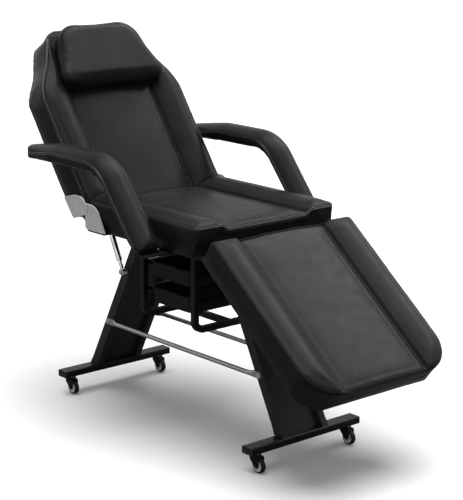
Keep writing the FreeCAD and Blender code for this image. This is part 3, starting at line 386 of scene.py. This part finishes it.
cushions = {
    "seatPad": {"node": "seat_cushion", "body": "chair_frame", "hinge": noHinge, "base": 0.677,
                "voxel": 0.007, "smooth": 1, "fill": 0.75, "meets": ("low", "high")},
    "backPad": {"node": "back_cushion", "body": "reclining_back", "hinge": backHinge, "base": 0.663,
                "voxel": 0.007, "smooth": 2, "fill": 0.75, "meets": ("low",)},
    "legPad": {"node": "rest_cushion", "body": "leg_rest", "hinge": kneeHinge, "base": 0.685,
               "voxel": 0.007, "smooth": 3, "fill": 0.75, "meets": ("high",)},
    "headPillow": {"node": "headrest_pillow", "body": "reclining_back", "hinge": backHinge, "base": 0.763,
                   "voxel": 0.006, "smooth": 3, "fill": 0.8, "meets": ()},
    "armPadRight": {"node": "arm_pad_right", "body": "chair_frame", "hinge": noHinge, "base": None,
                    "voxel": 0.005, "smooth": 12, "fill": 0.8, "meets": ()},
    "armPadLeft": {"node": "arm_pad_left", "body": "chair_frame", "hinge": noHinge, "base": None,
                   "voxel": 0.005, "smooth": 12, "fill": 0.8, "meets": ()},
}
coverLook = {"frames": 12, "quality": 3, "mass": 0.3, "stiffness": 18, "bending": 1.2, "pressure": 4,
             "cap": 0.005, "held": 0.028, "baseRise": 0.04, "weld": 0.00001}
endGap = 0.0006


# seams, drawn in each cushion's level pose and laid onto its cover

arcSteps = 8


def roundedPath(corners, closed=False):
    # corners are (x, y, z) or (x, y, z, radius); a rounded one becomes an arc
    points = []
    for i, corner in enumerate(corners):
        here = Vector(corner[:3])
        if len(corner) < 4:
            points.append(here)
            continue
        before = (Vector(corners[i - 1][:3]) - here).normalized()
        after = (Vector(corners[(i + 1) % len(corners)][:3]) - here).normalized()
        half = before.angle(after) / 2
        start = here + before * corner[3] / math.tan(half)
        end = here + after * corner[3] / math.tan(half)
        middle = here + (before + after).normalized() * corner[3] / math.sin(half)
        for k in range(arcSteps + 1):
            spoke = (start - middle).lerp(end - middle, k / arcSteps)
            points.append(middle + spoke.normalized() * corner[3])
    if closed:
        points.append(points[0].copy())
    return points


def resampled(points, step):
    flat = np.array([tuple(p) for p in points])
    along = np.concatenate([[0], np.cumsum(np.linalg.norm(np.diff(flat, axis=0), axis=1))])
    places = np.linspace(0, along[-1], max(int(along[-1] / step), 3))
    return np.column_stack([np.interp(places, along, flat[:, k]) for k in range(3)])


def averaged(values, rounds):
    for _ in range(rounds):
        values[1:-1] = values[1:-1] / 2 + (values[:-2] + values[2:]) / 4
    return values


def coverTree(pad):
    return BVHTree.FromObject(pad, bpy.context.evaluated_depsgraph_get())


def laidOn(cover, points, rounds=3):
    # the nearest places on the cover, with the cover's normals and the way along the seam
    found = [cover.find_nearest(Vector(p)) for p in points]
    places = averaged(np.array([tuple(spot[0]) for spot in found]), rounds)
    normals = averaged(np.array([tuple(spot[1]) for spot in found]), rounds + 3)
    normals /= np.linalg.norm(normals, axis=1)[:, None]
    ways = np.gradient(places, axis=0)
    ways /= np.maximum(np.linalg.norm(ways, axis=1), 1e-9)[:, None]
    return {"places": places, "normals": normals, "ways": ways, "sides": np.cross(ways, normals)}


def mirrored(corners):
    return [(-c[0],) + tuple(c[1:]) for c in corners]


seamZ = 0.775
valleyZ = 0.763
seatEdge = [(0.305, 0.246, 0.760), (0.305, 0.215, seamZ), (0.305, -0.330, seamZ, 0.024),
            (0.192, -0.330, seamZ), (0.168, -0.330, 0.760)]
seatEdge += mirrored(reversed(seatEdge))
seatValley = [(0.180, 0.240, valleyZ), (0.180, -0.322, valleyZ)]
backEdge = [(0.303, 0.264, 0.768), (0.303, 0.300, seamZ), (0.303, 0.718, seamZ, 0.18),
            (0.233, 0.826, seamZ, 0.25), (0.176, 0.954, seamZ, 0.065)]
backEdge += mirrored(reversed(backEdge))
backValley = [(0.175, 0.270, 0.757), (0.175, 0.300, valleyZ), (0.175, 0.930, valleyZ)]
legEdge = [(-0.305, -0.337, seamZ, 0.008), (0.305, -0.337, seamZ, 0.008), (0.305, -0.959, seamZ, 0.118),
           (-0.305, -0.959, seamZ, 0.118)]
legValley = [(0.180, -0.345, valleyZ), (0.180, -0.945, valleyZ)]
armLine = [(0.415, -0.151, 0.698), (0.415, 0.050, 0.941, 0.14), (0.415, 0.300, 0.941, 0.18),
           (0.415, 0.330, 0.937, 0.16), (0.3915, 0.485, 0.916, 0.022)]
armSides = 0.727
armEdge = armLine + [(armSides - c[0],) + tuple(c[1:]) for c in reversed(armLine)]

seams = {
    "seatPad": {"edges": [(seatEdge, False)],
                "valleys": [(seatValley, False), (mirrored(seatValley), False)]},
    "backPad": {"edges": [(backEdge, False)],
                "valleys": [(backValley, False), (mirrored(backValley), False)]},
    "legPad": {"edges": [(legEdge, True)],
               "valleys": [(legValley, False), (mirrored(legValley), False)]},
    "headPillow": {"edges": [], "valleys": []},
    "armPadRight": {"edges": [(mirrored(armEdge), False)], "valleys": []},
    "armPadLeft": {"edges": [(armEdge, False)], "valleys": []},
}
seamLook = {"step": 0.004, "edgeDepth": 0.0012, "valleyDepth": 0.0030, "width": 0.0045, "puff": 0.0012,
            "puffAt": 0.013, "puffWidth": 0.008, "pucker": 0.0006, "puckerScale": 75, "puckerReach": 0.014,
            "sway": 0.0009, "swayScale": 6.5}
armSeamLook = dict(seamLook, puff=0.0002, edgeDepth=0.0008, pucker=0.0003)


def laidSeams(pad, kind):
    hinge = cushions[pad.name]["hinge"]
    cover = coverTree(pad)
    return [laidOn(cover, turned(resampled(roundedPath(*line), seamLook["step"]), hinge))
            for line in seams[pad.name][kind]]


def seamDistances(points, lines):
    if not lines:
        return np.full(len(points), 1.0)
    spots = np.concatenate([line["places"] for line in lines])
    tree = KDTree(len(spots))
    for i, spot in enumerate(spots):
        tree.insert(spot, i)
    tree.balance()
    return np.array([tree.find(point)[2] for point in points])


def inflate(pad):
    # air pressure swells the cover between its seams; a cap holds each point near the solid
    scene = bpy.context.scene
    before = readPoints(pad.data)
    near = seamDistances(before, laidSeams(pad, "edges") + laidSeams(pad, "valleys"))
    cloth = pad.modifiers.new("Cover", "CLOTH")
    cloth.settings.quality = coverLook["quality"]
    cloth.settings.mass = coverLook["mass"]
    cloth.settings.tension_stiffness = coverLook["stiffness"]
    cloth.settings.compression_stiffness = coverLook["stiffness"]
    cloth.settings.bending_stiffness = coverLook["bending"]
    cloth.settings.use_pressure = True
    cloth.settings.uniform_pressure_force = coverLook["pressure"]
    cloth.settings.effector_weights.gravity = 0
    cloth.point_cache.frame_start = 1
    cloth.point_cache.frame_end = coverLook["frames"]
    for step in range(1, coverLook["frames"] + 1):
        scene.frame_set(step)
    swollen = pad.evaluated_get(bpy.context.evaluated_depsgraph_get())
    after = readPoints(swollen.data)
    pad.modifiers.clear()
    scene.frame_set(1)
    move = after - before
    far = np.linalg.norm(move, axis=1)
    move *= (np.minimum(far, coverLook["cap"]) / np.maximum(far, 1e-9))[:, None]
    move *= (1 - np.exp(-(near / coverLook["held"]) ** 2))[:, None]
    base = cushions[pad.name]["base"]
    if base is not None:
        height = turned(before, cushions[pad.name]["hinge"], -1)[:, 2] - base
        move *= np.clip(height / coverLook["baseRise"], 0, 1)[:, None]
    writePoints(pad.data, before + move)


def makePad(name, look):
    source = nodes[look["node"]]
    pad = source.copy()
    pad.data = source.data.copy()
    pad.name = name
    pad.data.name = name
    pad.parent = None
    for key in list(pad.keys()):
        del pad[key]
    bpy.context.scene.collection.objects.link(pad)
    selectOnly(pad)
    bpy.ops.object.mode_set(mode="EDIT")
    bpy.ops.mesh.select_all(action="SELECT")
    bpy.ops.mesh.remove_doubles(threshold=coverLook["weld"])
    bpy.ops.mesh.normals_make_consistent(inside=False)
    bpy.ops.object.mode_set(mode="OBJECT")
    pad.data.remesh_voxel_size = look["voxel"]
    bpy.ops.object.voxel_remesh()
    inflate(pad)
    addModifier(pad, "SMOOTH", factor=0.5, iterations=look["smooth"])
    addModifier(pad, "SUBSURF", levels=1, render_levels=1)
    bpy.ops.object.shade_smooth()
    wear(pad, "vinyl")
    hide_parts(look["node"])
    return pad


pads = {}
for name, look in cushions.items():
    pads[name] = makePad(name, look)
    print("cushion", name, len(pads[name].data.polygons), "faces")


def shapeCover(pad, edges, valleys, look):
    # grooves along the seams, a soft swell beside them, small puckers and a slow unevenness
    points = readPoints(pad.data)
    normals = readNormals(pad.data)
    toEdge = seamDistances(points, edges)
    toValley = seamDistances(points, valleys)
    near = np.minimum(toEdge, toValley)
    lift = look["puff"] * np.exp(-((near - look["puffAt"]) / look["puffWidth"]) ** 2)
    lift -= look["edgeDepth"] * np.exp(-(toEdge / look["width"]) ** 2)
    lift -= look["valleyDepth"] * np.exp(-(toValley / look["width"]) ** 2)
    ripple = np.array([noise.noise(Vector(p) * look["puckerScale"]) for p in points])
    sway = np.array([noise.noise(Vector(p) * look["swayScale"]) for p in points])
    lift += look["pucker"] * ripple * np.exp(-near / look["puckerReach"]) + look["sway"] * sway
    writePoints(pad.data, points + normals * lift[:, None])


def trimEnds(pad):
    # ends that meet another cushion at a hinge keep within their solid's own ends
    look = cushions[pad.name]
    solid = turned(readPoints(nodes[look["node"]].data), look["hinge"], -1)
    points = turned(readPoints(pad.data), look["hinge"], -1)
    if "low" in look["meets"]:
        points[:, 1] = np.maximum(points[:, 1], solid[:, 1].min() + endGap)
    if "high" in look["meets"]:
        points[:, 1] = np.minimum(points[:, 1], solid[:, 1].max() - endGap)
    writePoints(pad.data, turned(points, look["hinge"]))


def makeWelt(name, lines, look):
    # two cords side by side, bedded in the cover
    bpy.ops.curve.primitive_bezier_curve_add()
    welt = bpy.context.object
    welt.name = name
    welt.data.splines.clear()
    welt.data.dimensions = "3D"
    welt.data.bevel_depth = look["radius"]
    welt.data.bevel_resolution = 2
    welt.data.use_fill_caps = True
    for line in lines:
        for side in (-1, 1):
            cord = line["places"] + line["normals"] * look["lift"] + line["sides"] * look["apart"] * side
            spline = welt.data.splines.new("POLY")
            spline.points.add(len(cord) - 1)
            spline.points.foreach_set("co", np.column_stack([cord, np.ones(len(cord))]).ravel())
    selectOnly(welt)
    bpy.ops.object.convert(target="MESH")
    bpy.ops.object.transform_apply(location=True, rotation=True, scale=True)
    bpy.ops.object.shade_smooth()
    # the leg rest's welts wear the darker copy of the piping, which is painted shade
    wear(welt, "shadedWelt" if name.startswith("leg") else "welt")
    return welt


def makeStitches(name, cover, lines, look):
    # one stitch modelled once, then repeated beside every seam
    bpy.ops.mesh.primitive_cylinder_add(vertices=6, radius=look["radius"], depth=look["length"],
                                        rotation=(0, math.radians(90), 0))
    stitch = bpy.context.object
    stitch.name = name
    selectOnly(stitch)
    bpy.ops.object.transform_apply(location=True, rotation=True, scale=True)
    shape = readPoints(stitch.data)
    shape[:, 2] -= (shape[:, 0] / look["length"]) ** 2 * look["bow"]
    faces = [tuple(face.vertices) for face in stitch.data.polygons]
    points = []
    polygons = []
    for line in lines:
        for offset in look["rows"]:
            row = laidOn(cover, resampled(line["places"] + line["sides"] * offset, look["pitch"]), 1)
            spots = row["places"] + row["normals"] * look["lift"]
            ways = row["ways"]
            sides = np.cross(row["normals"], ways)
            ups = np.cross(ways, sides)
            for spot, way, up, side in zip(spots[1:-1], ways[1:-1], ups[1:-1], sides[1:-1]):
                first = len(points) * len(shape)
                points.append(spot + shape @ np.array([way, side, up]))
                polygons += [tuple(v + first for v in face) for face in faces]
    mesh = bpy.data.meshes.new(name)
    mesh.from_pydata(np.concatenate(points).tolist(), [], polygons)
    stitch.data = mesh
    wear(stitch, "thread")
    return stitch


weltLook = {"radius": 0.0017, "apart": 0.0025, "lift": 0.0007}
weltStitchLook = {"radius": 0.0004, "length": 0.0040, "bow": 0.0012, "pitch": 0.0056,
                  "rows": (-0.0085, 0.0085), "lift": 0.0001}
armStitchLook = dict(weltStitchLook, rows=(-0.0075,))
valleyStitchLook = dict(weltStitchLook, rows=(-0.0055, 0.0055))

screwLook = {"radius": 0.0048, "depth": 0.0036, "rim": 0.00108, "socket": 0.0022, "socketRise": 0.00216,
             "lift": 0.0008}
armScrews = [(0.4150, 0.056, 0.905), (0.3635, 0.150, 0.900)]


def makeScrews(name, pad, spots, look):
    # button heads with a hexagon socket, bedded in the cover
    bpy.ops.mesh.primitive_cylinder_add(vertices=20, radius=look["radius"], depth=look["depth"])
    head = bpy.context.object
    head.name = name
    bpy.ops.mesh.primitive_cylinder_add(vertices=6, radius=look["socket"], depth=look["depth"],
                                        location=(0, 0, look["socketRise"]))
    socket = bpy.context.object
    addModifier(head, "BEVEL", width=look["rim"], segments=3)
    addModifier(head, "BOOLEAN", object=socket, operation="DIFFERENCE", solver="EXACT")
    bpy.data.objects.remove(socket)
    shape = readPoints(head.data)
    faces = [tuple(face.vertices) for face in head.data.polygons]
    cover = coverTree(pad)
    points = []
    polygons = []
    for i, spot in enumerate(spots):
        place, normal = cover.find_nearest(Vector(spot))[:2]
        turn = Vector((0, 0, 1)).rotation_difference(normal).to_matrix()
        points += [tuple(turn @ Vector(p) + place + normal * look["lift"]) for p in shape]
        polygons += [tuple(v + i * len(shape) for v in face) for face in faces]
    mesh = bpy.data.meshes.new(name)
    mesh.from_pydata(points, [], polygons)
    head.data = mesh
    wear(head, "frameBlack")
    return head


for name, pad in pads.items():
    body = cushions[name]["body"]
    isArm = name.startswith("arm")
    shaping = armSeamLook if isArm else seamLook
    stitching = armStitchLook if isArm else weltStitchLook
    shapeCover(pad, laidSeams(pad, "edges"), laidSeams(pad, "valleys"), shaping)
    trimEnds(pad)
    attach(pad, body)
    edges = laidSeams(pad, "edges")
    valleys = laidSeams(pad, "valleys")
    cover = coverTree(pad)
    if edges:
        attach(makeWelt(name + "Piping", edges, weltLook), body)
        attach(makeStitches(name + "EdgeStitches", cover, edges, stitching), body)
    if valleys:
        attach(makeStitches(name + "SeamStitches", cover, valleys, valleyStitchLook), body)
    if isArm:
        side = -1 if name.endswith("Right") else 1
        spots = [(x * side, y, z) for x, y, z in armScrews]
        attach(makeScrews(name + "Screws", pad, spots, screwLook), body)
    print("seams laid on", name)


# stage, light and camera

# the floor is far darker to every ray but the camera's: painted shade on the chair's undersides and sides,
# and darker reflections of the floor
stageLook = {"floorSize": 120, "floorColour": (0.88, 0.88, 0.88), "bounceShadeColour": (0.25, 0.25, 0.25),
             "floorGlow": 0.07, "sky": 0.32}
lamps = {
    "overheadSoftbox": {"energy": 3.5, "angle": 50, "tilt": (5, 0), "diffuse": True},
    "sideSoftbox": {"energy": 2.0, "angle": 36, "tilt": (2, 40), "diffuse": False},
}


def makeFloor(look):
    bpy.ops.mesh.primitive_plane_add(size=look["floorSize"], location=(0, 0, 0))
    floor = bpy.context.object
    floor.name = "studioFloor"
    finish = bpy.data.materials.new("studioFloor")
    finish.use_nodes = True
    tree = finish.node_tree
    tree.nodes.clear()
    out = tree.nodes.new("ShaderNodeOutputMaterial")
    diffuse = tree.nodes.new("ShaderNodeBsdfDiffuse")
    glow = tree.nodes.new("ShaderNodeEmission")
    path = tree.nodes.new("ShaderNodeLightPath")
    strength = tree.nodes.new("ShaderNodeMath")
    strength.operation = "MULTIPLY"
    strength.inputs[1].default_value = look["floorGlow"]
    both = tree.nodes.new("ShaderNodeAddShader")
    # camera rays see the pale floor, all other rays the dark copy, which paints shade onto the chair
    tint = addTint(tree, path.outputs["Is Camera Ray"], look["bounceShadeColour"], look["floorColour"])
    tree.links.new(tint.outputs[2], diffuse.inputs["Color"])
    tree.links.new(path.outputs["Is Camera Ray"], strength.inputs[0])
    tree.links.new(strength.outputs[0], glow.inputs["Strength"])
    tree.links.new(diffuse.outputs[0], both.inputs[0])
    tree.links.new(glow.outputs[0], both.inputs[1])
    tree.links.new(both.outputs[0], out.inputs["Surface"])
    floor.data.materials.append(finish)


def makeSky(look):
    world = bpy.data.worlds.new("studioSky")
    bpy.context.scene.world = world
    world.use_nodes = True
    tree = world.node_tree
    background = tree.nodes["Background"]
    background.inputs["Color"].default_value = (1, 1, 1, 1)
    path = tree.nodes.new("ShaderNodeLightPath")
    first = tree.nodes.new("ShaderNodeMath")
    first.operation = "MAXIMUM"
    second = tree.nodes.new("ShaderNodeMath")
    second.operation = "MAXIMUM"
    tree.links.new(path.outputs["Is Camera Ray"], first.inputs[0])
    tree.links.new(path.outputs["Is Glossy Ray"], first.inputs[1])
    tree.links.new(first.outputs[0], second.inputs[0])
    tree.links.new(path.outputs["Is Transmission Ray"], second.inputs[1])
    level = addRange(tree, second.outputs[0], 0, 1, look["sky"], 1.0)
    tree.links.new(level, background.inputs["Strength"])


def makeLamp(name, look):
    bpy.ops.object.light_add(type="SUN", location=(0, 0, 4))
    lamp = bpy.context.object
    lamp.name = name
    lamp.data.energy = look["energy"]
    lamp.data.angle = math.radians(look["angle"])
    lamp.rotation_euler = [math.radians(turn) for turn in look["tilt"]] + [0]
    lamp.visible_diffuse = look["diffuse"]


cameraLook = {"place": (-3.3483, -4.0109, 1.8663), "sensor": 36, "lens": 121.953, "farEnd": 200,
              "yaw": 40.932, "pitch": 13.595, "roll": 0.389}


def makeCamera(look):
    bpy.ops.object.camera_add()
    camera = bpy.context.object
    camera.name = "photoCamera"
    camera.data.sensor_fit = "HORIZONTAL"
    camera.data.sensor_width = look["sensor"]
    camera.data.lens = look["lens"]
    camera.data.clip_end = look["farEnd"]
    aim = (Matrix.Rotation(math.radians(-look["yaw"]), 4, "Z")
           @ Matrix.Rotation(math.radians(90 - look["pitch"]), 4, "X")
           @ Matrix.Rotation(math.radians(look["roll"]), 4, "Z"))
    camera.matrix_world = Matrix.Translation(look["place"]) @ aim
    bpy.context.scene.camera = camera


makeFloor(stageLook)
makeSky(stageLook)
for name, look in lamps.items():
    makeLamp(name, look)
makeCamera(cameraLook)
bpy.context.scene.view_settings.view_transform = "Standard"
print("stage and camera set")
